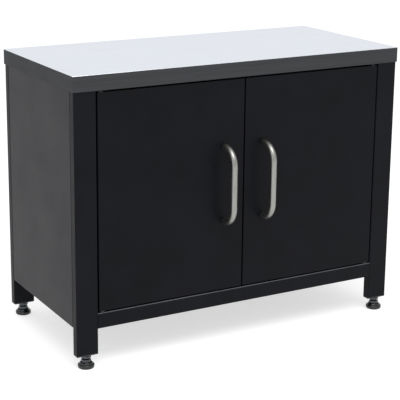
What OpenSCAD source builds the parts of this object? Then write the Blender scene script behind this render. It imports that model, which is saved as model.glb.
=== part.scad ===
// Two-door steel base cabinet on four levelling feet, with a stainless worktop.
// Origin: floor level, at the centre of the footprint that worktop and handles make.
// +X runs to the right door, +Y to the back, +Z up. Millimetres.

/* [Overall] */
// Width over the worktop
overall_w = 812; // [600:1:1200]
// Depth of the worktop
overall_d = 380; // [280:1:600]
// Height from the floor to the worktop surface
overall_h = 632; // [500:1:950]

/* [Worktop] */
// Height of the worktop's folded skirt
top_h = 34; // [24:1:60]
// Sheet thickness of the stainless skin
top_sheet = 1.2; // [0.8:0.1:2]
// How far the worktop stands past the body on every side
top_overhang = 2; // [2:0.5:20]
// Width of the hem folded in under the skirt
hem_w = 8; // [5:1:12]
// Radius of the worktop's vertical corners
top_corner_r = 3; // [1.5:0.5:10]

/* [Frame] */
// Width of a post, seen from the front
post_w = 50; // [40:1:80]
// Depth of a post, seen from the side
post_d = 20; // [18:1:40]
// Wall of the frame tubes
tube_wall = 1.5; // [1:0.1:2.5]
// Outer corner radius of the frame tubes
tube_r = 2.5; // [1:0.25:4]
// Height of the leg below the bottom rail
leg_h = 57; // [20:1:120]
// Height of the bottom rails
rail_h = 35; // [25:1:60]
// Height of the top rails
top_rail_h = 30; // [20:1:50]
// Thickness of the side rails and the front stretcher
rail_d = 20; // [15:1:30]
// How far the front stretcher sits behind the posts
stretcher_setback = 2; // [1.5:0.5:10]

/* [Panels] */
// Sheet thickness of panels, doors and shelf
sheet = 1; // [0.6:0.1:1.5]
// Depth of the side panels' folded edges
side_fold = 15; // [8:1:25]
// How far the side panels end above the rails' underside
panel_lift = 5; // [0:1:15]
// Depth of the floor panel's folded edges
floor_fold = 15; // [8:1:25]
// How far the floor lies below the bottom rails' top
floor_drop = 2; // [1:0.5:10]
// Sheet thickness of the back panel
back_sheet = 0.8; // [0.6:0.1:1]
// Overlap of the back panel on the rear posts
back_overlap = 20; // [10:1:35]

/* [Doors] */
// Depth of the door's outer pan
pan_d = 15; // [14:1:30]
// Gap between a door and its post
gap_side = 3; // [2.5:0.25:5]
// Gap between the two doors
gap_mid = 3; // [2:0.25:6]
// Gap below the doors
gap_bottom = 3; // [3:0.25:6]
// Gap between the doors and the worktop
gap_top = 4; // [4:0.25:10]
// Radius of the doors' folded edges
door_r = 1.5; // [1:0.25:3]
// Width of the lip folded in behind the door
door_lip = 14; // [8:1:25]
// Distance from a door's side edge to its hinge axis
axis_in_x = 9; // [8:0.5:14]
// Distance from a door's front to its hinge axis
axis_in_y = 6.5; // [6.5:0.25:7.5]
// Diameter of the hinge pins
pin_d = 6; // [5:0.5:6]
// Length of a pin inside its bush
pin_in_bush = 16; // [10:1:20]

/* [Handles] */
// Distance between a handle's fixing centres
handle_centres = 168; // [96:1:224]
// Diameter of the handle bar
handle_d = 14; // [8:0.5:16]
// Distance from the door to the bar's centre
handle_projection = 42; // [30:1:60]
// Centreline radius of the handle's bends
handle_bend_r = 38; // [16:1:50]
// Distance from the door's meeting edge to the handle
handle_inset = 48; // [30:1:90]
// Height of the handle's centre above the middle of the door
handle_lift = 6; // [-60:1:60]
// Diameter of the handle screws
handle_screw_d = 5; // [4:0.5:6]

/* [Shelf] */
// Height of the shelf's folded edges
shelf_fold = 20; // [12:1:35]
// Which hole up the standards holds the shelf
shelf_level = 4; // [0:1:8]
// Distance between the holes of the standards
hole_pitch = 32; // [25:1:50]
// Diameter of the shelf clips' pins
clip_pin_d = 6; // [5:0.5:8]

/* [Feet] */
// Height from the floor to the underside of a leg
foot_h = 28; // [26:1:60]
// Diameter of a foot's pad
pad_d = 36; // [25:1:60]
// Thread diameter of a foot's stud
stud_d = 12; // [8:1:12]
// Width across flats of the stud's hexagon and the lock nut
hex_af = 19; // [15:1:20]

/* [Clearances] */
// Radial clearance of a running pin in its bush
running_fit = 0.05; // [0.02:0.01:0.1]
// Clearance of a screw in its hole, on the radius
screw_fit = 0.1; // [0.05:0.05:0.3]
// Gap left where a door meets a buffer or a magnet
contact_gap = 0.2; // [0.1:0.05:0.5]

/* [Hidden] */
CORNERS = [["front_left", -1, -1], ["front_right", 1, -1], ["rear_left", -1, 1], ["rear_right", 1, 1]];
SIDES = [["left", -1], ["right", 1]];

$fn = 48;
// How far a cut runs past the face that it opens
eps = 1;

// Body box
body_w = overall_w - 2 * top_overhang;
body_d = overall_d - 2 * top_overhang;
half_w = body_w / 2;
handle_reach = handle_projection + handle_d / 2;
front_y = (handle_reach + top_overhang - overall_d) / 2;
rear_y = front_y + body_d;
body_top = overall_h - top_h;
inner_x = half_w - post_w;
post_back_y = front_y + post_d;
rear_post_y = rear_y - post_d;

// Frame levels
rail_z = foot_h + leg_h;
rail_top = rail_z + rail_h;
top_rail_z = body_top - top_rail_h;
frame_x = half_w - side_fold;
room_x = frame_x - rail_d;
stretcher_y = post_back_y + stretcher_setback;
floor_z = rail_top - floor_drop;

// Length of a screw's hole past the screw's tip
thread_runout = 2;

// Worktop fixings
top_screw_xs = [-body_w * 0.37, 0, body_w * 0.37];
top_screw_r = 2.25;
top_screw_bite = 18;
top_screw_head_r = 4.5;
top_screw_head_h = 2.4;
hem_inner_y = rear_y + top_overhang - top_sheet - hem_w;
top_screw_margin = 1;
rear_screw_y = min(rear_y - post_d / 2, hem_inner_y - top_screw_r - top_screw_margin);

// Leg inserts
insert_flange = 3;
insert_plug = 25;
insert_play = 0.1;
stud_r = stud_d / 2;
foot_x = half_w - post_w / 2;
function foot_y(row) = row < 0 ? front_y + post_d / 2 : rear_y - post_d / 2;

// Levelling feet
pad_rim = 9;
pad_rim_r = 3;
pad_top = 13;
pad_neck_r = 12;
stud_sunk = 7;
nut_h = 6;
foot_lift = 2;
hex_h = foot_h - pad_top - nut_h - foot_lift - contact_gap;
stud_top = foot_h + insert_flange + insert_plug - 2 * foot_lift;

// Doors
door_x = -inner_x + gap_side;
door_w = inner_x - gap_side - gap_mid / 2;
door_z = rail_top + gap_bottom;
door_h = body_top - gap_top - door_z;
door_back_y = front_y + pan_d + sheet;
liner_margin = 3;
axis_x = door_x + axis_in_x;
axis_y = front_y + axis_in_y;
pin_r = pin_d / 2;
bush_wall = 2;
bush_r = pin_r + bush_wall;
bush_floor = 1;
bush_len = pin_in_bush + 2 * bush_floor;
flange_r = axis_in_y - 0.5;
flange_h = 1.5;
shoulder_h = gap_bottom - flange_h - contact_gap / 2;
bracket_h = 2;
bracket_w = 24;
bracket_front = 4.5;
pin_below = 14;
block_h = bush_len + 2;

// Handles
handle_x = door_x + door_w - handle_inset;
handle_z = door_z + door_h / 2 + handle_lift;
handle_r = handle_d / 2;
shortest_stub = 2;
bend_r = min(handle_bend_r, handle_projection - shortest_stub);
stub = handle_projection - bend_r;
straight = handle_centres / 2 - bend_r;
handle_screw_r = handle_screw_d / 2 - screw_fit;
handle_bite = 10;
handle_head_r = 4.5;
handle_head_h = 2.8;
socket_af = 3;

// Catches and buffers
catch_w = 40;
catch_h = 13;
catch_d = 18;
catch_x = 40;
strike_w = 30;
strike_h = 14;
strike_t = 1.2;
pole_w = 34;
pole_h = 4;
pole_proud = 1;
strike_back_y = door_back_y + strike_t;
catch_front_y = strike_back_y + contact_gap + pole_proud;
buffer_r = 5;
buffer_xs = [18, 200];

// Shelf
standard_w = 20;
standard_t = 1.5;
standard_inset = 50;
standard_foot = 12;
standard_ys = [post_back_y + standard_inset, rear_post_y - standard_inset];
standard_lap = 18;
standard_top = top_rail_z + standard_lap;
first_hole = 80;
last_hole_margin = 40;
hole_count = floor((standard_top - floor_z - first_hole - last_hole_margin) / hole_pitch);
clip_pin_r = clip_pin_d / 2;
clip_reach = 10;
clip_w = 12;
clip_t = 3;
clip_pin_len = 6;
shelf_play = 1;
shelf_x = room_x - standard_t - shelf_play;
shelf_gap_y = 8;
clip_z = floor_z + first_hole + hole_pitch * min(shelf_level, hole_count - 1);
shelf_z = clip_z + clip_t / 2;

// Back panel fixings
back_screw_xs = [-0.38 * body_w, -0.13 * body_w, 0.13 * body_w, 0.38 * body_w];
back_margin = 8;
back_z = rail_z + back_margin;
back_top = body_top - back_margin;
back_screw_zs = [rail_z + rail_h / 2, body_top - top_rail_h / 2];
back_screw_r = 1.75;
back_screw_len = 8;
back_head_r = 4;
back_head_h = top_overhang - back_sheet;

// Finishes
steel_black = "#1e1f22";
steel_side = "#3a3b3d";
stainless = "#b9bdc0";
stainless_bar = "#a9a9a4";
zinc = "#8e9296";
nylon = "#17181a";

// Rectangle with four round corners, centred
module rounded_rect(w, d, r) {
    square([w - 2 * r, d], center = true);
    square([w, d - 2 * r], center = true);
    for (sx = [-1, 1], sy = [-1, 1])
        translate([sx * (w / 2 - r), sy * (d / 2 - r)])
            circle(r);
}

// Hollow section of a frame tube
module tube_section(w, d) {
    difference() {
        rounded_rect(w, d, tube_r);
        rounded_rect(w - 2 * tube_wall, d - 2 * tube_wall, max(tube_r - tube_wall, 0.2));
    }
}

// Tube along X from x0 to x1, its section's lowest corner at (y, z)
module tube_x(x0, x1, y, z, d, h) {
    translate([x0, y + d / 2, z + h / 2])
        rotate([90, 0, 90])
            linear_extrude(x1 - x0)
                tube_section(d, h);
}

// Tube along Y from y0 to y1, its section's lowest corner at (x, z)
module tube_y(y0, y1, x, z, w, h) {
    translate([x + w / 2, y0, z + h / 2])
        rotate([-90, 0, 0])
            linear_extrude(y1 - y0)
                tube_section(w, h);
}

// The left-hand part as drawn, or its mirror image for the right
module handed(side) {
    if (side < 0) children();
    else mirror([1, 0, 0]) children();
}

// Hexagonal prism with a round bore
module hex_nut(h, bore_r) {
    difference() {
        cylinder(d = hex_af / cos(30), h = h, $fn = 6);
        translate([0, 0, -eps])
            cylinder(r = bore_r, h = h + 2 * eps);
    }
}

// Screw along +Z: its head below z = 0, its shank above
module screw(shank_r, length, head_r, head_h) {
    translate([0, 0, -head_h])
        cylinder(r = head_r, h = head_h);
    cylinder(r = shank_r, h = length);
}

// Shallow folded tray, open downwards, with its top at z = 0
module tray(w, d, fold) {
    difference() {
        translate([-w / 2, 0, -fold])
            cube([w, d, fold]);
        translate([-w / 2 + sheet, sheet, -fold - eps])
            cube([w - 2 * sheet, d - 2 * sheet, fold - sheet + eps]);
    }
}

// ---- Worktop ----

module worktop_outline(inset) {
    translate([0, front_y - top_overhang + overall_d / 2])
        rounded_rect(overall_w - 2 * inset, overall_d - 2 * inset, max(top_corner_r - inset, 0.3));
}

module worktop_skin() {
    color(stainless)
        difference() {
            translate([0, 0, body_top])
                linear_extrude(top_h) worktop_outline(0);
            translate([0, 0, body_top + top_sheet])
                linear_extrude(top_h - 2 * top_sheet) worktop_outline(top_sheet);
            translate([0, 0, body_top - eps])
                linear_extrude(top_sheet + 2 * eps) worktop_outline(top_sheet + hem_w);
        }
}

module at_worktop_screws() {
    for (x = top_screw_xs, y = [stretcher_y + rail_d / 2, rear_screw_y])
        translate([x, y, top_rail_z]) children();
}

module worktop_core() {
    color("burlywood")
        difference() {
            translate([0, 0, body_top + top_sheet])
                linear_extrude(top_h - 2 * top_sheet) worktop_outline(top_sheet);
            at_worktop_screws()
                cylinder(r = top_screw_r + screw_fit, h = top_rail_h + top_screw_bite + thread_runout / 2);
        }
}

module worktop_screws() {
    color(zinc)
        at_worktop_screws()
            screw(top_screw_r, top_rail_h + top_screw_bite, top_screw_head_r, top_screw_head_h);
}

// ---- Frame ----

module post(col, row) {
    z = foot_h + insert_flange;
    color(steel_black)
        translate([col * foot_x, foot_y(row), z])
            linear_extrude(body_top - z) tube_section(post_w, post_d);
}

module leg_inserts() {
    plug_w = post_w - 2 * (tube_wall + insert_play);
    plug_d = post_d - 2 * (tube_wall + insert_play);
    color(nylon)
        for (c = CORNERS)
            translate([c[1] * foot_x, foot_y(c[2]), foot_h])
                difference() {
                    union() {
                        linear_extrude(insert_flange) rounded_rect(post_w, post_d, tube_r);
                        linear_extrude(insert_flange + insert_plug) rounded_rect(plug_w, plug_d, 1);
                    }
                    translate([0, 0, -eps])
                        cylinder(r = stud_r + running_fit, h = insert_flange + insert_plug + 2 * eps);
                }
}

module front_rail() {
    color(steel_black)
        difference() {
            tube_x(-inner_x, inner_x, front_y, rail_z, post_d, rail_h);
            for (side = [-1, 1])
                translate([side * -axis_x, axis_y, rail_top - tube_wall - eps])
                    cylinder(r = pin_r, h = tube_wall + 2 * eps);
        }
}

module at_back_screws() {
    for (x = back_screw_xs, z = back_screw_zs)
        translate([x, rear_y + back_sheet, z])
            rotate([90, 0, 0]) children();
}

module rear_rail_lower() {
    color(steel_black)
        difference() {
            tube_x(-inner_x, inner_x, rear_post_y, rail_z, post_d, rail_h);
            at_back_screws()
                cylinder(r = back_screw_r + screw_fit, h = back_screw_len + thread_runout);
        }
}

module rear_rail_upper() {
    color(steel_black)
        difference() {
            tube_x(-inner_x, inner_x, rear_post_y, top_rail_z, post_d, top_rail_h);
            at_back_screws()
                cylinder(r = back_screw_r + screw_fit, h = back_screw_len + thread_runout);
            at_worktop_screws()
                translate([0, 0, -eps])
                    cylinder(r = top_screw_r + screw_fit, h = top_rail_h + 2 * eps);
        }
}

module front_stretcher() {
    color(steel_black)
        difference() {
            tube_x(-room_x, room_x, stretcher_y, top_rail_z, rail_d, top_rail_h);
            at_worktop_screws()
                translate([0, 0, -eps])
                    cylinder(r = top_screw_r + screw_fit, h = top_rail_h + 2 * eps);
        }
}

module side_rail_lower(side) {
    color(steel_black)
        handed(side)
            tube_y(post_back_y, rear_post_y, -frame_x, rail_z, rail_d, rail_h);
}

module side_rail_upper(side) {
    color(steel_black)
        handed(side)
            tube_y(post_back_y, rear_post_y, -frame_x, top_rail_z, rail_d, top_rail_h);
}

// ---- Panels ----

module side_panel(side) {
    z0 = rail_z + panel_lift;
    h = body_top - z0;
    d = rear_post_y - post_back_y;
    color(steel_side)
        handed(side)
            translate([-half_w, post_back_y, z0])
                difference() {
                    cube([side_fold, d, h]);
                    translate([sheet, sheet, sheet])
                        cube([side_fold, d - 2 * sheet, h - 2 * sheet]);
                }
}

module back_panel() {
    w = 2 * (inner_x + back_overlap);
    color(steel_black)
        difference() {
            translate([-w / 2, rear_y, back_z])
                cube([w, back_sheet, back_top - back_z]);
            at_back_screws()
                translate([0, 0, -eps])
                    cylinder(r = back_screw_r + screw_fit, h = back_sheet + 2 * eps);
        }
}

module back_panel_screws() {
    color(zinc)
        at_back_screws()
            screw(back_screw_r, back_screw_len, back_head_r, back_head_h);
}

module floor_panel() {
    color(steel_black)
        translate([0, post_back_y, floor_z])
            tray(2 * room_x, rear_post_y - post_back_y, floor_fold);
}

// ---- Shelf ----

module shelf_standard() {
    difference() {
        translate([-room_x, -standard_w / 2, floor_z])
            union() {
                cube([standard_t, standard_w, standard_top - floor_z]);
                cube([standard_foot, standard_w, standard_t]);
            }
        for (i = [0 : hole_count - 1])
            translate([-room_x - eps, 0, floor_z + first_hole + i * hole_pitch])
                rotate([0, 90, 0])
                    cylinder(r = clip_pin_r + screw_fit, h = standard_t + 2 * eps);
    }
}

module shelf_standards() {
    color(zinc)
        for (s = SIDES, y = standard_ys)
            handed(s[1]) translate([0, y, 0]) shelf_standard();
}

module shelf_clips() {
    color(zinc)
        for (s = SIDES, y = standard_ys)
            handed(s[1])
                translate([-room_x + standard_t, y, clip_z]) {
                    translate([0, -clip_w / 2, -clip_t / 2])
                        cube([clip_reach, clip_w, clip_t]);
                    translate([-clip_pin_len, 0, 0])
                        rotate([0, 90, 0]) cylinder(r = clip_pin_r, h = clip_pin_len);
                }
}

module shelf() {
    y0 = post_back_y + shelf_gap_y;
    color(steel_black)
        translate([0, y0, shelf_z + shelf_fold])
            tray(2 * shelf_x, rear_post_y - shelf_gap_y - y0, shelf_fold);
}

// ---- Hinge hardware on the frame ----

module hinge_bracket(side) {
    y0 = axis_y - bracket_front;
    color(zinc)
        handed(side)
            difference() {
                translate([-inner_x, y0, body_top - bracket_h])
                    cube([bracket_w, stretcher_y - y0, bracket_h]);
                translate([axis_x, axis_y, body_top - bracket_h - eps])
                    cylinder(r = pin_r, h = bracket_h + 2 * eps);
            }
}

module hinge_pin_upper(side) {
    z0 = door_z + door_h - pin_in_bush;
    color(zinc)
        handed(side)
            translate([axis_x, axis_y, z0])
                cylinder(r = pin_r, h = body_top - z0);
}

module hinge_pin_lower(side) {
    color(zinc)
        handed(side)
            translate([axis_x, axis_y, rail_top]) {
                translate([0, 0, -pin_below])
                    cylinder(r = pin_r, h = pin_below + gap_bottom + pin_in_bush);
                cylinder(r = flange_r, h = shoulder_h);
            }
}

module catch_housing(side) {
    color(nylon)
        handed(side)
            difference() {
                translate([-catch_x - catch_w / 2, catch_front_y, top_rail_z - catch_h])
                    cube([catch_w, catch_d, catch_h]);
                translate([-catch_x - pole_w / 2, catch_front_y - eps, top_rail_z - catch_h / 2 - pole_h / 2])
                    cube([pole_w, catch_d / 2 + eps, pole_h]);
            }
}

module catch_magnets() {
    color(zinc)
        for (s = SIDES)
            handed(s[1])
                translate([-catch_x - pole_w / 2, catch_front_y - pole_proud, top_rail_z - (catch_h + pole_h) / 2])
                    cube([pole_w, catch_d / 2 + pole_proud, pole_h]);
}

module door_buffers() {
    length = stretcher_y - door_back_y - contact_gap;
    color(nylon)
        for (s = SIDES, x = buffer_xs)
            handed(s[1])
                translate([-x, stretcher_y, body_top - top_rail_h / 2])
                    rotate([90, 0, 0]) cylinder(r = buffer_r, h = length);
}

// ---- Doors ----

module at_bushes() {
    translate([axis_x, axis_y, door_z]) children();
    translate([axis_x, axis_y, door_z + door_h]) mirror([0, 0, 1]) children();
}

module at_handle_ends() {
    for (end = [-1, 1])
        translate([handle_x, front_y, handle_z + end * handle_centres / 2]) children();
}

// Round hole through the door for a handle screw
module handle_hole() {
    rotate([-90, 0, 0])
        translate([0, 0, -eps])
            cylinder(r = handle_screw_d / 2 + screw_fit, h = pan_d + sheet + 2 * eps);
}

module door_pan(side) {
    color(steel_black)
        handed(side)
            difference() {
                translate([door_x, front_y, door_z])
                    linear_extrude(door_h)
                        union() {
                            translate([0, door_r]) square([door_w, pan_d - door_r]);
                            translate([door_r, 0]) square([door_w - 2 * door_r, pan_d]);
                            for (x = [door_r, door_w - door_r])
                                translate([x, door_r]) circle(door_r);
                        }
                translate([door_x + sheet, front_y + sheet, door_z + sheet])
                    cube([door_w - 2 * sheet, pan_d - 2 * sheet, door_h - 2 * sheet]);
                translate([door_x + door_lip, front_y + pan_d - sheet - eps, door_z + door_lip])
                    cube([door_w - 2 * door_lip, sheet + 2 * eps, door_h - 2 * door_lip]);
                at_bushes()
                    translate([0, 0, -eps]) cylinder(r = bush_r, h = sheet + 2 * eps);
                at_handle_ends() handle_hole();
            }
}

module door_liner(side) {
    color(steel_black)
        handed(side)
            difference() {
                translate([door_x + liner_margin, front_y + pan_d, door_z + liner_margin])
                    cube([door_w - 2 * liner_margin, sheet, door_h - 2 * liner_margin]);
                at_handle_ends() handle_hole();
            }
}

module hinge_blocks(side) {
    color(zinc)
        handed(side)
            at_bushes()
                difference() {
                    translate([-axis_in_x + sheet, -axis_in_y + sheet, sheet])
                        cube([2 * (axis_in_x - sheet), pan_d - 2 * sheet, block_h]);
                    translate([0, 0, sheet - eps])
                        cylinder(r = bush_r, h = bush_len - sheet + eps);
                }
}

module hinge_bushes(side) {
    color(nylon)
        handed(side)
            at_bushes()
                difference() {
                    union() {
                        cylinder(r = bush_r, h = bush_len);
                        translate([0, 0, -flange_h])
                            cylinder(r = flange_r, h = flange_h);
                    }
                    translate([0, 0, -flange_h - eps])
                        cylinder(r = pin_r + running_fit, h = flange_h + bush_len - bush_floor + eps);
                }
}

module strike_plate(side) {
    color(zinc)
        handed(side)
            translate([-catch_x - strike_w / 2, door_back_y, top_rail_z - catch_h / 2 - strike_h / 2])
                cube([strike_w, strike_t, strike_h]);
}

// Half of the handle, drawn with the door in the plane x = 0 and outwards along +X
module handle_half() {
    translate([0, handle_centres / 2, 0])
        rotate([0, 90, 0]) cylinder(r = handle_r, h = stub);
    translate([stub, straight, 0])
        rotate_extrude(angle = 90)
            translate([bend_r, 0]) circle(handle_r);
    translate([handle_projection, 0, 0])
        rotate([-90, 0, 0]) cylinder(r = handle_r, h = straight);
}

module handle(side) {
    color(stainless_bar)
        handed(side)
            difference() {
                translate([handle_x, front_y, handle_z])
                    rotate([90, 0, -90])
                        union() {
                            handle_half();
                            mirror([0, 1, 0]) handle_half();
                        }
                at_handle_ends()
                    rotate([90, 0, 0])
                        translate([0, 0, -eps])
                            cylinder(r = handle_screw_d / 2, h = handle_bite + thread_runout + eps);
            }
}

module handle_screws(side) {
    color(zinc)
        handed(side)
            at_handle_ends()
                translate([0, pan_d + sheet, 0])
                    rotate([90, 0, 0])
                        difference() {
                            screw(handle_screw_r, pan_d + sheet + handle_bite, handle_head_r, handle_head_h);
                            translate([0, 0, -handle_head_h - eps])
                                cylinder(d = socket_af / cos(30), h = handle_head_h / 2 + eps, $fn = 6);
                        }
}

// ---- Feet ----

module foot_stud(col, row) {
    color(zinc)
        translate([col * foot_x, foot_y(row), 0]) {
            translate([0, 0, pad_top - stud_sunk])
                cylinder(r = stud_r, h = stud_top - pad_top + stud_sunk);
            translate([0, 0, pad_top])
                cylinder(d = hex_af / cos(30), h = hex_h, $fn = 6);
        }
}

module foot_pad(col, row) {
    pad_r = pad_d / 2;
    color(nylon)
        translate([col * foot_x, foot_y(row), 0])
            difference() {
                rotate_extrude() {
                    square([pad_r - pad_rim_r, pad_rim]);
                    translate([0, pad_rim_r]) square([pad_r, pad_rim - 2 * pad_rim_r]);
                    for (z = [pad_rim_r, pad_rim - pad_rim_r])
                        translate([pad_r - pad_rim_r, z]) circle(pad_rim_r);
                    polygon([[0, pad_rim], [pad_r - pad_rim_r, pad_rim], [pad_neck_r, pad_top], [0, pad_top]]);
                }
                translate([0, 0, pad_top - stud_sunk])
                    cylinder(r = stud_r, h = stud_sunk + eps);
            }
}

module lock_nuts() {
    color(zinc)
        for (c = CORNERS)
            translate([c[1] * foot_x, foot_y(c[2]), foot_h - nut_h])
                hex_nut(nut_h, stud_r + running_fit);
}

// ---- Nodes ----

worktop_skin();
worktop_core();
worktop_screws();
for (c = CORNERS) post(c[1], c[2]);
leg_inserts();
front_rail();
rear_rail_lower();
rear_rail_upper();
front_stretcher();
for (s = SIDES) side_rail_lower(s[1]);
for (s = SIDES) side_rail_upper(s[1]);
for (s = SIDES) side_panel(s[1]);
back_panel();
back_panel_screws();
floor_panel();
shelf_standards();
shelf();
shelf_clips();
for (s = SIDES) hinge_bracket(s[1]);
for (s = SIDES) hinge_pin_upper(s[1]);
for (s = SIDES) hinge_pin_lower(s[1]);
for (s = SIDES) catch_housing(s[1]);
catch_magnets();
door_buffers();
for (s = SIDES) door_pan(s[1]);
for (s = SIDES) door_liner(s[1]);
for (s = SIDES) hinge_blocks(s[1]);
for (s = SIDES) hinge_bushes(s[1]);
for (s = SIDES) strike_plate(s[1]);
for (s = SIDES) handle(s[1]);
for (s = SIDES) handle_screws(s[1]);
for (c = CORNERS) foot_stud(c[1], c[2]);
for (c = CORNERS) foot_pad(c[1], c[2]);
lock_nuts();
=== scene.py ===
import math

import bmesh
import bpy
from mathutils import Matrix, Vector


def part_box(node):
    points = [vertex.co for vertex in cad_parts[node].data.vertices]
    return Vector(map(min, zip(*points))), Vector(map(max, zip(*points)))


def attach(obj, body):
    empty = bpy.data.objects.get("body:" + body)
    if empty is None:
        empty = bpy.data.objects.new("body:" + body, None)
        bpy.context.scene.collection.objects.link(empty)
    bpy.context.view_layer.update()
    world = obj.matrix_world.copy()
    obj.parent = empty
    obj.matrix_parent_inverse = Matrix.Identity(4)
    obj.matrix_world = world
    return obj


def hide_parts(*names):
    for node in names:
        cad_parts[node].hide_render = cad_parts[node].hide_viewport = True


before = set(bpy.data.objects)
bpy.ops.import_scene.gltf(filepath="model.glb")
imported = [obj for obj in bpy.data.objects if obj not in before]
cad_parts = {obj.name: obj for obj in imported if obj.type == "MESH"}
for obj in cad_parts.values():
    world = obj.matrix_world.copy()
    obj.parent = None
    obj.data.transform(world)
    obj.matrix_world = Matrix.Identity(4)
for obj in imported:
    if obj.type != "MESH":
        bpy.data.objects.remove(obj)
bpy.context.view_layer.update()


# ---------------------------------------------------------------------------
# Posts
# Four 50 x 20 mm rectangular steel tubes that run from the legs' ends up to the worktop.
# Sawn to length, welded to the rails, then powder coated in satin black.
# ---------------------------------------------------------------------------

def linear(code, alpha=1.0):
    """Linear colour of an sRGB hex value."""
    parts = [int(code[i:i + 2], 16) / 255 for i in (0, 2, 4)]
    return [c / 12.92 if c <= 0.04045 else ((c + 0.055) / 1.055) ** 2.4 for c in parts] + [alpha]


def add(tree, kind, settings, links):
    """Adds a node with its settings and the links into it."""
    made = tree.nodes.new(kind)
    for name, value in settings.items():
        if name in made.inputs:
            made.inputs[name].default_value = value
        else:
            setattr(made, name, value)
    for socket, (source, output) in links.items():
        tree.links.new(source.outputs[output], made.inputs[socket])
    return made


def blank(name):
    """An empty material: its tree, and the object-space coordinates that its patterns use."""
    material = bpy.data.materials.new(name)
    material.use_nodes = True
    tree = material.node_tree
    tree.nodes.clear()
    return material, tree, (add(tree, "ShaderNodeTexCoord", {}, {}), "Object")


def noise(tree, vector, feature_mm, detail, roughness=0.5):
    """Noise with features of about this many millimetres."""
    return add(tree, "ShaderNodeTexNoise",
               {"Scale": 1000 / feature_mm, "Detail": detail, "Roughness": roughness},
               {"Vector": vector})


def ramp(tree, source, stops):
    """Colour ramp with the given (position, sRGB hex) stops, fed by a (node, output) pair."""
    made = add(tree, "ShaderNodeValToRGB", {}, {"Fac": source})
    elements = made.color_ramp.elements
    while len(elements) < len(stops):
        elements.new(0.5)
    for element, (position, code) in zip(elements, stops):
        element.position = position
        element.color = linear(code)
    return made


# Most of a noise's values lie between these two, so patterns run from one to the other.
NOISE_LOW, NOISE_HIGH = 0.3, 0.7


def two_tone(tree, pattern, dark, light):
    """Colour that drifts between two sRGB hex values with a noise."""
    return ramp(tree, (pattern, "Fac"), [(NOISE_LOW, dark), (NOISE_HIGH, light)])


def drift(tree, pattern, middle, spread):
    """Value that drifts by the spread to either side of its middle with a noise."""
    return add(tree, "ShaderNodeMapRange",
               {"From Min": NOISE_LOW, "From Max": NOISE_HIGH,
                "To Min": middle - spread, "To Max": middle + spread},
               {"Value": (pattern, "Fac")})


def surface(tree, settings, links):
    """Principled shader with its settings and links, wired to the material's output."""
    shader = add(tree, "ShaderNodeBsdfPrincipled", settings, links)
    add(tree, "ShaderNodeOutputMaterial", {}, {"Surface": (shader, "BSDF")})


def powder_coat(name, dark, light, roughness, specular):
    """Polyester powder coat, baked on steel: a satin film with faint orange peel.
    The peel is about 0.8 mm across on the real one; drawn at 3 mm so that it breaks up the
    highlights. Slow 90 mm clouds stand for uneven film thickness and handling marks."""
    material, tree, where = blank(name)
    peel = noise(tree, where, feature_mm=3, detail=3.0, roughness=0.55)
    cloud = noise(tree, where, feature_mm=90, detail=4.0, roughness=0.6)
    colour = two_tone(tree, cloud, dark, light)
    sheen = drift(tree, cloud, roughness, spread=0.05)
    bump = add(tree, "ShaderNodeBump", {"Strength": 0.12, "Distance": 0.0002}, {"Height": (peel, "Fac")})
    surface(tree, {"Specular IOR Level": specular},
            {"Base Color": (colour, "Color"), "Roughness": (sheen, "Result"), "Normal": (bump, "Normal")})
    return material


def coat(names, material):
    """Gives CAD nodes a finished material."""
    for name in names:
        mesh_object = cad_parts[name]
        if not mesh_object.material_slots:
            mesh_object.data.materials.append(material)
        for holder in mesh_object.material_slots:
            holder.material = material


CORNERS = ["front_left", "front_right", "rear_left", "rear_right"]
SIDES = ["left", "right"]
FRAME_COAT = powder_coat("powder_coated_steel_frame", "0B0C10", "111217", roughness=0.42, specular=0.09)
coat([f"post_{c}" for c in CORNERS], FRAME_COAT)


# ---------------------------------------------------------------------------
# Rails and stretcher
# Rectangular tubes between the posts: 35 mm high below, 30 mm high above. MIG welded at both
# ends and coated with the posts, so they share the posts' film, as do the hinge brackets.
# ---------------------------------------------------------------------------

coat(["rear_rail_lower", "rear_rail_upper", "front_stretcher"], FRAME_COAT)
coat([f"hinge_bracket_{s}" for s in SIDES], FRAME_COAT)
coat([f"side_rail_{level}_{s}" for level in ("lower", "upper") for s in SIDES], FRAME_COAT)


# ---------------------------------------------------------------------------
# Side panels
# Pans of 1 mm steel, folded inwards 15 mm on all four edges, set flush between the posts and
# spot welded to the side rails. The press brake leaves a 1.5 mm outside radius.
# ---------------------------------------------------------------------------

def finish_mesh(name, mesh_data, material, body, replaced, smooth_angle=35):
    """Makes a piece of a bmesh: material, smooth shading up to an angle, body, slot and CAD node."""
    mesh = bpy.data.meshes.new(name)
    bmesh.ops.recalc_face_normals(mesh_data, faces=mesh_data.faces[:])
    mesh_data.to_mesh(mesh)
    mesh_data.free()
    mesh.materials.append(material)
    for polygon in mesh.polygons:
        polygon.use_smooth = True
    mesh.set_sharp_from_angle(angle=math.radians(smooth_angle))
    piece = bpy.data.objects.new(name, mesh)
    bpy.context.scene.collection.objects.link(piece)
    weighted = piece.modifiers.new("flat faces stay flat", "WEIGHTED_NORMAL")
    weighted.keep_sharp = True
    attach(piece, body)
    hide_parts(*replaced)
    return piece


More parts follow.
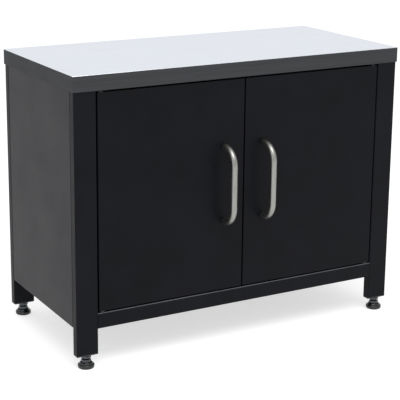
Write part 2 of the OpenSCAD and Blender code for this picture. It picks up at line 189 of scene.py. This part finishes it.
def folded_pan(width, height, depth, sheet, radius, lip):
    """Sheet-metal pan with its face in z = 0 and its open side at z = -depth, from (0, 0) to
    (width, height). The lip is a second fold, inwards along the open side."""
    pan = bmesh.new()
    bmesh.ops.create_cube(pan, size=1)
    bmesh.ops.transform(pan, verts=pan.verts[:],
                        matrix=Matrix.Translation((width / 2, height / 2, -depth / 2))
                        @ Matrix.Diagonal((width, height, depth, 1)))
    open_side = [f for f in pan.faces if f.normal.z < -0.5]
    folds = [e for e in pan.edges if not any(f in open_side for f in e.link_faces)]
    bmesh.ops.bevel(pan, geom=folds, offset=radius, segments=4, profile=0.5, affect="EDGES")
    pan.normal_update()
    open_side = [f for f in pan.faces if f.normal.z < -0.9]
    bmesh.ops.delete(pan, geom=open_side, context="FACES_ONLY")
    if lip:
        rim = [e for e in pan.edges if e.is_boundary]
        grown = bmesh.ops.extrude_edge_only(pan, edges=rim)
        for v in [g for g in grown["geom"] if isinstance(g, bmesh.types.BMVert)]:
            v.co.x = min(max(v.co.x, lip), width - lip)
            v.co.y = min(max(v.co.y, lip), height - lip)
        bmesh.ops.remove_doubles(pan, verts=pan.verts[:], dist=1e-6)
    bmesh.ops.recalc_face_normals(pan, faces=pan.faces[:])
    if sum(f.normal.z * f.calc_area() for f in pan.faces) < 0:
        bmesh.ops.reverse_faces(pan, faces=pan.faces[:])
    skin = pan.faces[:]
    bmesh.ops.solidify(pan, geom=skin, thickness=sheet)
    return pan


def place(mesh_data, origin, across, up):
    """Moves a bmesh from its drawing plane: its x along across, its y along up."""
    x, y = Vector(across), Vector(up)
    z = x.cross(y)
    turn = Matrix((x, y, z)).transposed().to_4x4()
    bmesh.ops.transform(mesh_data, verts=mesh_data.verts[:], matrix=Matrix.Translation(origin) @ turn)


SHEET = 0.001
FOLD_R = 0.0015
# The sides get the frame's black coat drawn lighter grey: painted light for the light that falls on them
# from the left.
SIDE_COAT_PAINTED_LIGHT = powder_coat("powder_coated_steel_side_painted_light", "1E1E21", "242427", roughness=0.46, specular=0.14)
for s in SIDES:
    low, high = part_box(f"side_panel_{s}")
    pan = folded_pan(high.y - low.y, high.z - low.z, high.x - low.x, SHEET, FOLD_R, lip=0)
    if s == "left":
        place(pan, (low.x, high.y, low.z), (0, -1, 0), (0, 0, 1))
    else:
        place(pan, (high.x, low.y, low.z), (0, 1, 0), (0, 0, 1))
    finish_mesh(f"side_skin_{s}", pan, SIDE_COAT_PAINTED_LIGHT, "cabinet", [f"side_panel_{s}"])


# ---------------------------------------------------------------------------
# Back panel, floor and shelf
# The back is one flat 0.8 mm sheet, screwed over the rear rails. Floor and shelf are 1 mm trays
# folded downwards; the shelf lies loose on four clips.
# ---------------------------------------------------------------------------

# The interior gets the frame's coat drawn lighter: painted light that lifts the shade inside the cabinet.
INTERIOR_COAT_PAINTED_LIGHT = powder_coat("powder_coated_steel_interior_painted_light", "1C1D20", "232428", roughness=0.48, specular=0.25)
coat(["back_panel"], INTERIOR_COAT_PAINTED_LIGHT)
for node, piece_name in (("floor_panel", "floor_tray"), ("shelf", "shelf_tray")):
    low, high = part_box(node)
    pan = folded_pan(high.x - low.x, high.y - low.y, high.z - low.z, SHEET, FOLD_R, lip=0)
    place(pan, (low.x, low.y, high.z), (1, 0, 0), (0, 1, 0))
    finish_mesh(piece_name, pan, INTERIOR_COAT_PAINTED_LIGHT, "cabinet", [node])


# ---------------------------------------------------------------------------
# Zinc-plated hardware
# Shelf standards and clips, hinge blocks, strike plates, magnets' poles and screws: pressed or
# turned steel, bright zinc plated, which leaves a soft blue-grey cast. Hinge pins: black oxide.
# ---------------------------------------------------------------------------

def plated(name, dark, light, roughness, grain_mm, stretch, edge=1.0):
    """Plated or bare metal with a drawn or rolled grain.
    The grain's lines are stretched along one axis; spangle clouds vary its gloss. An edge below
    1 dims the metal at grazing angles: painted shade, used on the worktop's skirt."""
    material, tree, where = blank(name)
    lay = add(tree, "ShaderNodeMapping", {"Scale": stretch}, {"Vector": where})
    grain = noise(tree, (lay, "Vector"), grain_mm, detail=4.0, roughness=0.6)
    cloud = noise(tree, where, feature_mm=60, detail=2.0)
    colour = two_tone(tree, grain, dark, light)
    gloss = drift(tree, cloud, roughness, spread=0.04)
    bump = add(tree, "ShaderNodeBump", {"Strength": 0.05, "Distance": 0.00004}, {"Height": (grain, "Fac")})
    surface(tree, {"Metallic": 1.0, "Specular Tint": (edge, edge, edge, 1)},
            {"Base Color": (colour, "Color"), "Roughness": (gloss, "Result"), "Normal": (bump, "Normal")})
    return material


EVEN = (1, 1, 1)
ZINC = plated("zinc_plated_steel", "9DA2A8", "B4B9BE", roughness=0.36, grain_mm=2, stretch=EVEN)
coat(["shelf_standards", "shelf_clips", "worktop_screws", "back_panel_screws", "catch_magnets"], ZINC)
for part in ("hinge_blocks", "strike_plate", "handle_screws"):
    coat([f"{part}_{s}" for s in SIDES], ZINC)
BLACK_OXIDE = plated("black_oxide_turned_steel", "26272A", "303134", roughness=0.4, grain_mm=1.5,
                     stretch=EVEN)
coat([f"hinge_pin_{end}_{s}" for end in ("upper", "lower") for s in SIDES], BLACK_OXIDE)


# ---------------------------------------------------------------------------
# Catches, bushes and buffers
# Injection-moulded black nylon for the catches' housings and the hinge bushes, and moulded
# rubber for the four buffers that the doors close against.
# ---------------------------------------------------------------------------

def moulded(name, dark, light, roughness, grain_mm, depth):
    """Moulded plastic or rubber with a fine spark-eroded grain from its tool."""
    material, tree, where = blank(name)
    grain = noise(tree, where, grain_mm, detail=3.0)
    flow = noise(tree, where, feature_mm=18, detail=2.0)
    colour = two_tone(tree, flow, dark, light)
    gloss = drift(tree, flow, roughness, spread=0.04)
    bump = add(tree, "ShaderNodeBump", {"Strength": 0.25, "Distance": depth}, {"Height": (grain, "Fac")})
    surface(tree, {"IOR": 1.53},
            {"Base Color": (colour, "Color"), "Roughness": (gloss, "Result"), "Normal": (bump, "Normal")})
    return material


NYLON = moulded("moulded_black_nylon", "16171A", "1C1D20", roughness=0.45, grain_mm=1.2, depth=0.0001)
RUBBER = moulded("moulded_black_rubber", "121213", "1A1A1B", roughness=0.75, grain_mm=1.5, depth=0.0002)
coat([f"catch_housing_{s}" for s in SIDES] + [f"hinge_bushes_{s}" for s in SIDES], NYLON)
coat(["door_buffers"], RUBBER)


# ---------------------------------------------------------------------------
# Leg caps
# Moulded nylon inserts that close the legs: a rim with a rounded lower edge, a plain plug
# pressed into the tube, and a bore for the levelling foot's stud.
# ---------------------------------------------------------------------------

def centre_of(low, high):
    """Middle of a box in plan."""
    return (low.x + high.x) / 2, (low.y + high.y) / 2


def circle_angles(count):
    """Angles of this many even steps around a circle."""
    return [2 * math.pi * k / count for k in range(count)]


def ring_at(shape, centre, angles, radii, heights):
    """Ring of vertices around a vertical axis, one per angle."""
    return [shape.verts.new((centre[0] + r * math.cos(a), centre[1] + r * math.sin(a), z))
            for a, r, z in zip(angles, radii, heights)]


def bridge(shape, loops):
    """Joins each ring of vertices to the next. A ring may be a single point on the axis."""
    for a, b in zip(loops, loops[1:]):
        count = max(len(a), len(b))
        for k in range(count):
            j = (k + 1) % count
            corners = [a[k % len(a)], a[j % len(a)], b[j % len(b)], b[k % len(b)]]
            shape.faces.new(list(dict.fromkeys(corners)))


def rounded_outline(centre, width, depth, radius, steps):
    """Points of a rectangle with round corners, corner by corner."""
    points = []
    for quarter, (sx, sy) in enumerate(((1, 1), (-1, 1), (-1, -1), (1, -1))):
        for k in range(steps + 1):
            angle = math.pi / 2 * (quarter + k / steps)
            points.append((centre[0] + sx * (width / 2 - radius) + radius * math.cos(angle),
                           centre[1] + sy * (depth / 2 - radius) + radius * math.sin(angle)))
    return points


CAP_RIM = 0.003
CAP_EDGE_R = 0.002
TUBE_R = 0.0025
TUBE_WALL = 0.0015
PLUG_PLAY = 0.0001
BORE_R = 0.00605
CORNER_STEPS = 5
EDGE_STEPS = 3
SHARPEST_R = 0.0004
caps = bmesh.new()
cap_low, cap_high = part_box("leg_inserts")
for c in CORNERS:
    low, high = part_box(f"post_{c}")
    centre = centre_of(low, high)
    width, depth = high.x - low.x, high.y - low.y
    z0, z1 = cap_low.z, cap_high.z
    levels = []
    for k in range(EDGE_STEPS + 1):
        angle = math.pi / 2 * k / EDGE_STEPS
        levels.append((CAP_EDGE_R * (1 - math.sin(angle)), z0 + CAP_EDGE_R * (1 - math.cos(angle))))
    plug_inset = TUBE_WALL + PLUG_PLAY
    levels += [(0, z0 + CAP_RIM), (plug_inset, z0 + CAP_RIM), (plug_inset, z1)]
    loops = []
    for inset, z in levels:
        corner_r = max(TUBE_R - inset, SHARPEST_R)
        outline = rounded_outline(centre, width - 2 * inset, depth - 2 * inset, corner_r, CORNER_STEPS)
        loops.append([caps.verts.new((x, y, z)) for x, y in outline])
    angles = [math.atan2(v.co.y - centre[1], v.co.x - centre[0]) for v in loops[0]]
    for z in (z1, z0):
        loops.append(ring_at(caps, centre, angles, [BORE_R] * len(angles), [z] * len(angles)))
    bridge(caps, loops + loops[:1])
finish_mesh("leg_caps", caps, NYLON, "cabinet", ["leg_inserts"])


# ---------------------------------------------------------------------------
# Front bottom rail
# The 35 x 20 mm tube below the doors, welded between the front posts. Its upper front edge has
# a lighter, glossier coat: a painted highlight that draws one light line along the rounded edge.
# ---------------------------------------------------------------------------

# A face counts as turned towards an axis when its normal's part along that axis is above this.
TURNED = 0.3
# Lighter, glossier coat for the rail's upper front edge: a painted highlight line.
EDGE_HIGHLIGHT_COAT = powder_coat("powder_coated_steel_painted_highlight_edge", "3C3D42", "4E4F55", roughness=0.25,
                          specular=0.6)
low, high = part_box("front_rail")
middle = ((low.y + high.y) / 2, (low.z + high.z) / 2)
tube = bmesh.new()
loops = []
for x, wall in ((low.x, 0), (high.x, 0), (high.x, TUBE_WALL), (low.x, TUBE_WALL)):
    outline = rounded_outline(middle, high.y - low.y - 2 * wall, high.z - low.z - 2 * wall, TUBE_R - wall,
                              CORNER_STEPS)
    loops.append([tube.verts.new((x, y, z)) for y, z in outline])
bridge(tube, loops + loops[:1])
rail = finish_mesh("bottom_rail_front", tube, FRAME_COAT, "cabinet", ["front_rail"])
rail.data.materials.append(EDGE_HIGHLIGHT_COAT)
# Faces on the upper front edge take the painted highlight coat.
for polygon in rail.data.polygons:
    if polygon.normal.y < -TURNED and polygon.normal.z > TURNED and polygon.center.z > high.z - TUBE_R:
        polygon.material_index = 1


# ---------------------------------------------------------------------------
# Worktop board
# Particle board inside the stainless tray. It stiffens the sheet and takes the six screws.
# Only its underside shows, with the doors open.
# ---------------------------------------------------------------------------

def chipboard(name):
    """Raw particle board: pressed wood flakes, 1 to 5 mm long, in pale and dark browns."""
    material, tree, where = blank(name)
    flake_mm = 4
    flakes = add(tree, "ShaderNodeTexVoronoi", {"Scale": 1000 / flake_mm}, {"Vector": where})
    dust = noise(tree, where, feature_mm=1.5, detail=4.0)
    tones = add(tree, "ShaderNodeMix", {"data_type": "FLOAT", "Factor": 0.5},
                {"A": (flakes, "Color"), "B": (dust, "Fac")})
    colour = ramp(tree, (tones, "Result"), [(0.25, "8A6A45"), (0.5, "B08B5E"), (0.75, "CDAA7C")])
    bump = add(tree, "ShaderNodeBump", {"Strength": 0.4, "Distance": 0.0003}, {"Height": (dust, "Fac")})
    surface(tree, {"Roughness": 0.85}, {"Base Color": (colour, "Color"), "Normal": (bump, "Normal")})
    return material


coat(["worktop_core"], chipboard("raw_particle_board"))


# ---------------------------------------------------------------------------
# Worktop skin
# A 1.2 mm stainless tray: brushed top, 34 mm folded skirt and an 8 mm hem turned in below.
# The corners are welded and ground, which leaves a small vertical radius.
# ---------------------------------------------------------------------------

def brushed_stainless(name, dark, light, roughness, lay_scale, edge):
    """Brushed 304 stainless: fine parallel scratches, 0.3 mm apart on the real sheet.
    Drawn 2.5 mm apart across and half a metre long, so that they show as faint streaks."""
    return plated(name, dark, light, roughness, grain_mm=2.5, stretch=lay_scale, edge=edge)


# One stainless sheet drawn as two copies: the top near white, painted light from the bright room above.
TOP_STEEL_PAINTED_LIGHT = brushed_stainless("brushed_stainless_worktop_painted_light", "E9EFF6", "F1F5FB", roughness=0.32,
                              lay_scale=(0.006, 1, 1), edge=1.0)
# The skirt and hem copy is dark grey and dimmed at grazing angles: painted shade.
SKIRT_STEEL_PAINTED_SHADE = brushed_stainless("brushed_stainless_skirt_painted_shade", "3E3F41", "464749", roughness=0.38,
                                lay_scale=(0.01, 0.01, 1), edge=0.6)
TOP_SHEET = 0.0012
TOP_FOLD_R = 0.0016
HEM = 0.008
low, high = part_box("worktop_skin")
tray = folded_pan(high.x - low.x, high.y - low.y, high.z - low.z, TOP_SHEET, TOP_FOLD_R, HEM)
place(tray, (low.x, low.y, high.z), (1, 0, 0), (0, 1, 0))
worktop = finish_mesh("worktop_tray", tray, TOP_STEEL_PAINTED_LIGHT, "cabinet", ["worktop_skin"])
worktop.data.materials.append(SKIRT_STEEL_PAINTED_SHADE)
# Upward faces on top take the painted light copy; all other faces take the painted shade copy.
for polygon in worktop.data.polygons:
    on_top = polygon.normal.z > TURNED and polygon.center.z > high.z - TOP_FOLD_R
    polygon.material_index = 0 if on_top else 1


# ---------------------------------------------------------------------------
# Doors
# Each door is a 1 mm steel pan, 15 mm deep with a folded lip, closed at the back by a flat liner.
# The pan is a little smoother and darker than the frame; the liner has the interior's coat.
# This mesh has no holes for the hinge bushes, so bushes and pins cross its upper and lower folds.
# ---------------------------------------------------------------------------

DOOR_COAT = powder_coat("powder_coated_steel_door", "090A0E", "0E0F14", roughness=0.4, specular=0.09)
DOOR_LIP = 0.014
for s in SIDES:
    low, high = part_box(f"door_pan_{s}")
    pan = folded_pan(high.x - low.x, high.z - low.z, high.y - low.y, SHEET, FOLD_R, DOOR_LIP)
    place(pan, (low.x, low.y, low.z), (1, 0, 0), (0, 0, 1))
    finish_mesh(f"door_skin_{s}", pan, DOOR_COAT, f"door_{s}", [f"door_pan_{s}"])
    coat([f"door_liner_{s}"], INTERIOR_COAT_PAINTED_LIGHT)


# ---------------------------------------------------------------------------
# Handles
# Bow handles bent from 14 mm stainless bar, satin brushed along the bar, with a chamfered foot
# at each end and an M5 thread for the screws that come through the door.
# ---------------------------------------------------------------------------

def sweep(points, radii, sides):
    """Round bar through a list of points in the plane x = constant, with closed ends."""
    bar = bmesh.new()
    rings = []
    count = len(points)
    for i, (point, radius) in enumerate(zip(points, radii)):
        before, after = points[max(i - 1, 0)], points[min(i + 1, count - 1)]
        along = (after - before).normalized()
        side = Vector((1, 0, 0))
        out = along.cross(side)
        rings.append([bar.verts.new(point + radius * (math.cos(a) * side + math.sin(a) * out))
                      for a in circle_angles(sides)])
    bridge(bar, rings)
    bar.faces.new(rings[0])
    bar.faces.new(rings[-1])
    return bar


HANDLE_BAR_R = 0.007
HANDLE_BEND_R = 0.038
HANDLE_CHAMFER = 0.0006
BEND_STEPS = 16
BAR_SIDES = 32
SHARP_ABOVE = 50
BAR_STEEL = plated("satin_stainless_bar", "8A8A86", "A0A09C", roughness=0.36, grain_mm=1.2,
                   stretch=(1, 1, 0.02))
for s in SIDES:
    low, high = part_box(f"handle_{s}")
    x = (low.x + high.x) / 2
    door_y = high.y
    bar_y = low.y + HANDLE_BAR_R
    top_z = high.z - HANDLE_BAR_R
    mid_z = (low.z + high.z) / 2
    bend_z = top_z - HANDLE_BEND_R
    bend_y = bar_y + HANDLE_BEND_R
    half = [(door_y, top_z), (door_y - HANDLE_CHAMFER, top_z)]
    for k in range(BEND_STEPS + 1):
        angle = math.pi / 2 * k / BEND_STEPS
        half.append((bend_y - HANDLE_BEND_R * math.sin(angle), bend_z + HANDLE_BEND_R * math.cos(angle)))
    lower = [(y, 2 * mid_z - z) for y, z in reversed(half)]
    line = [Vector((x, y, z)) for y, z in half + lower]
    radii = [HANDLE_BAR_R] * len(line)
    radii[0] = radii[-1] = HANDLE_BAR_R - HANDLE_CHAMFER
    bar = sweep(line, radii, BAR_SIDES)
    finish_mesh(f"bow_handle_{s}", bar, BAR_STEEL, f"door_{s}", [f"handle_{s}"],
                SHARP_ABOVE)


# ---------------------------------------------------------------------------
# Levelling feet
# A zinc-plated M12 stud with a 19 mm hexagon, swivelling in a moulded nylon pad. A lock nut
# jams it against the leg. The pad is a thick black puck with a rounded rim and a low shoulder.
# ---------------------------------------------------------------------------

ON_AXIS = 1e-7
HEX_SIDES = 72
HEX_CHAMFER = math.radians(30)
# Radius of a hexagon's flat round face, as a part of half its width across flats.
HEX_FACE = 0.95


def lathe(profile, sides, centre):
    """Turned solid of a (radius, height) profile that starts and ends on the axis."""
    turned = bmesh.new()
    angles = circle_angles(sides)
    rings = []
    for radius, z in profile:
        if radius < ON_AXIS:
            rings.append([turned.verts.new((centre[0], centre[1], z))])
        else:
            rings.append(ring_at(turned, centre, angles, [radius] * sides, [z] * sides))
    bridge(turned, rings)
    return turned


def hexagon(across_flats, z0, z1, bore, centre, shape):
    """Hexagon nut or collar with the 30-degree chamfer arcs at both ends, added to a bmesh."""
    flat = across_flats / 2
    face_r = HEX_FACE * flat
    angles = circle_angles(HEX_SIDES)
    sixth = math.pi / 3
    reach = [flat / math.cos((a + sixth / 2) % sixth - sixth / 2) for a in angles]
    drop = [(r - face_r) * math.tan(HEX_CHAMFER) for r in reach]
    inner, face = [bore] * HEX_SIDES, [face_r] * HEX_SIDES
    bottom, top = [z0] * HEX_SIDES, [z1] * HEX_SIDES
    rings = [(inner, bottom), (face, bottom), (reach, [z0 + d for d in drop]),
             (reach, [z1 - d for d in drop]), (face, top), (inner, top)]
    loops = [ring_at(shape, centre, angles, radii, heights) for radii, heights in rings]
    bridge(shape, loops + loops[:1])


PAD_RIM = 0.009
PAD_RIM_R = 0.003
PAD_NECK_R = 0.012
COLLAR_HEIGHT = 0.0068
STUD_R = 0.006
THREAD_DEPTH = 0.0008
THREAD_PITCH = 0.00175
THREAD_ROOT, THREAD_CREST = 0.35, 0.9
THREAD_RUNOUT = 0.001
HEX_AF = 0.019
NUT_PLAY = 0.00005
PAD_SIDES = 64
PAD_STEPS = 6
STUD_SIDES = 32
GLOSS_NYLON = moulded("moulded_gloss_nylon_pad", "090A0B", "0F1012", roughness=0.22, grain_mm=2.0,
                      depth=0.00003)
STUD_STEEL = plated("dark_zinc_plated_steel", "3E4144", "56595C", roughness=0.28, grain_mm=1.5,
                    stretch=EVEN)
for c in CORNERS:
    low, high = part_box(f"foot_pad_{c}")
    centre = centre_of(low, high)
    pad_r = (high.x - low.x) / 2
    z0, z1 = low.z, high.z
    rim_top = z0 + PAD_RIM
    rim_x = pad_r - PAD_RIM_R
    arc = [math.pi / 2 * k / PAD_STEPS for k in range(PAD_STEPS + 1)]
    outline = [(0, z0), (rim_x, z0)]
    outline += [(rim_x + PAD_RIM_R * math.sin(a), z0 + PAD_RIM_R - PAD_RIM_R * math.cos(a)) for a in arc]
    outline += [(rim_x + PAD_RIM_R * math.cos(a), rim_top - PAD_RIM_R + PAD_RIM_R * math.sin(a))
                for a in arc]
    shoulder = rim_x - PAD_NECK_R
    for k in range(1, PAD_STEPS + 1):
        t = k / PAD_STEPS
        outline.append((rim_x - shoulder * t, rim_top + (z1 - rim_top) * math.sin(math.pi / 2 * t)))
    outline += [(0, z1)]
    pad = lathe(outline, PAD_SIDES, centre)
    finish_mesh(f"swivel_pad_{c}", pad, GLOSS_NYLON, f"foot_{c}", [f"foot_pad_{c}"])

    stud_low, stud_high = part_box(f"foot_stud_{c}")
    hex_top = z1 + COLLAR_HEIGHT
    outline = [(0, stud_low.z), (STUD_R, stud_low.z), (STUD_R, hex_top)]
    for k in range(int((stud_high.z - THREAD_RUNOUT - hex_top) / THREAD_PITCH)):
        base = hex_top + k * THREAD_PITCH
        outline += [(STUD_R - THREAD_DEPTH, base + THREAD_PITCH * THREAD_ROOT),
                    (STUD_R, base + THREAD_PITCH * THREAD_CREST)]
    outline += [(STUD_R - THREAD_DEPTH, stud_high.z), (0, stud_high.z)]
    stud = lathe(outline, STUD_SIDES, centre)
    hexagon(HEX_AF, z1, hex_top, STUD_R, centre, stud)
    finish_mesh(f"threaded_stud_{c}", stud, STUD_STEEL, f"foot_{c}", [f"foot_stud_{c}"])

nuts = bmesh.new()
low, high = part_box("lock_nuts")
for c in CORNERS:
    pad_low, pad_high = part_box(f"foot_pad_{c}")
    centre = centre_of(pad_low, pad_high)
    hexagon(HEX_AF, low.z, high.z, STUD_R + NUT_PLAY, centre, nuts)
finish_mesh("hexagon_lock_nuts", nuts, STUD_STEEL, "cabinet", ["lock_nuts"])


# ---------------------------------------------------------------------------
# Floor, light and camera
# A plain pale floor under soft studio light: an even white room, a weak softbox on the left and
# one high in front. The camera stands above the worktop, to the left of the front.
# ---------------------------------------------------------------------------

def opal_acrylic(name):
    """Opal acrylic shooting table, lit faintly from below, which keeps the shadows light."""
    material, tree, where = blank(name)
    mottle = noise(tree, where, feature_mm=400, detail=2.0)
    colour = two_tone(tree, mottle, "C2C2C2", "C6C6C6")
    surface(tree, {"Roughness": 0.9, "Specular IOR Level": 0.1,
                   "Emission Color": linear("FFFFFF"), "Emission Strength": 0.6},
            {"Base Color": (colour, "Color")})
    return material


def softbox(name, place_at, look_at, width, height, power):
    """Rectangular area light that faces a point."""
    light = bpy.data.lights.new(name, "AREA")
    light.shape = "RECTANGLE"
    light.size = width
    light.size_y = height
    light.energy = power
    lamp = bpy.data.objects.new(name, light)
    lamp.location = place_at
    lamp.rotation_euler = (Vector(look_at) - Vector(place_at)).to_track_quat("-Z", "Y").to_euler()
    bpy.context.scene.collection.objects.link(lamp)


FLOOR_HALF = 30
floor_mesh = bpy.data.meshes.new("studio_floor")
floor_corners = [(x * FLOOR_HALF, y * FLOOR_HALF, 0) for x, y in ((-1, -1), (1, -1), (1, 1), (-1, 1))]
floor_mesh.from_pydata(floor_corners, [], [(0, 1, 2, 3)])
floor_mesh.materials.append(opal_acrylic("opal_acrylic_floor"))
plane = bpy.data.objects.new("studio_floor", floor_mesh)
bpy.context.scene.collection.objects.link(plane)

MIDDLE = (0, 0, 0.32)
softbox("softbox_left", (-2.6, -0.3, 1.3), MIDDLE, width=2.0, height=2.0, power=5)
softbox("softbox_front", (-0.4, -1.3, 2.4), MIDDLE, width=2.0, height=1.2, power=34)

world = bpy.data.worlds.new("white_studio")
world.use_nodes = True
background = world.node_tree.nodes["Background"]
background.inputs["Color"].default_value = linear("FBFBFC")
background.inputs["Strength"].default_value = 0.9
bpy.context.scene.world = world
bpy.context.scene.view_settings.view_transform = "Standard"

YAW, PITCH, ROLL = math.radians(28.65), math.radians(14.17), math.radians(0.33)
STANDPOINT = (-1.415, -2.448, 1.097)
camera_data = bpy.data.cameras.new("camera")
camera_data.sensor_width = 36
camera_data.lens = 114.2
camera_data.shift_x = 0.058
camera_data.shift_y = -0.109
camera = bpy.data.objects.new("camera", camera_data)
forward = Vector((math.sin(YAW) * math.cos(PITCH), math.cos(YAW) * math.cos(PITCH), -math.sin(PITCH)))
right = Vector((math.cos(YAW), -math.sin(YAW), 0))
above = right.cross(forward)
right, above = (math.cos(ROLL) * right + math.sin(ROLL) * above,
                math.cos(ROLL) * above - math.sin(ROLL) * right)
facing = Matrix((right, above, -forward)).transposed().to_4x4()
camera.matrix_world = Matrix.Translation(STANDPOINT) @ facing
bpy.context.scene.collection.objects.link(camera)
bpy.context.scene.camera = camera
